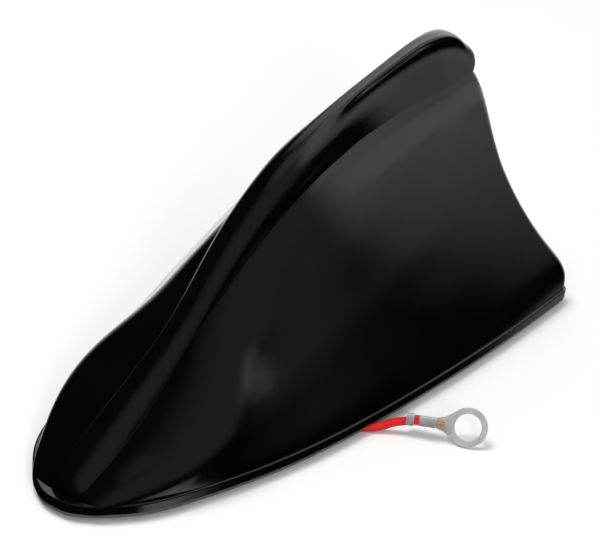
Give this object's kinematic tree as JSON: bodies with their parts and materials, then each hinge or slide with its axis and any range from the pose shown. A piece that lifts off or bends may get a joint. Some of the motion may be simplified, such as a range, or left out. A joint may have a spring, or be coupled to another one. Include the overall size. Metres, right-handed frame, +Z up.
{
  "type": "shark fin aerial",
  "caption": "Gloss black fin-shaped roof aerial with a rounded ridge, a rubber rim seal, adhesive pads below and a short red lead with a ring terminal.",
  "frame": {"origin": "on the ground under the middle of the fin", "axes": "+X towards the nose, +Y towards the left flank, +Z up"},
  "size_m": [0.1656, 0.094, 0.0712],
  "materials": {
    "gloss_black": "high gloss black moulding",
    "grey_rubber": "matt grey rubber",
    "frame_plastic": "fine-grained black moulding",
    "screw_steel": "zinc plated",
    "pad_foam": "closed-cell foam with adhesive",
    "board_laminate": "green laminate",
    "former_plastic": "pale nylon",
    "coil_copper": "enamelled copper wire",
    "solder": "solder",
    "red_insulation": "red flexible insulation",
    "bare_copper": "bare copper",
    "tinned_metal": "dull tin plate"
  },
  "bodies": {
    "root": {"cover": "gloss_black", "rim_seal": "grey_rubber", "base_frame": "frame_plastic", "frame_screws": "screw_steel", "pad_front": "pad_foam", "pad_left": "pad_foam", "pad_right": "pad_foam", "pad_rear": "pad_foam", "aerial_board": "board_laminate", "coil_former": "former_plastic", "coil_winding": "coil_copper", "solder_joint": "solder", "lead": "red_insulation", "wire_strands": "bare_copper", "ring_terminal": "tinned_metal"}
  },
  "joints": []
}
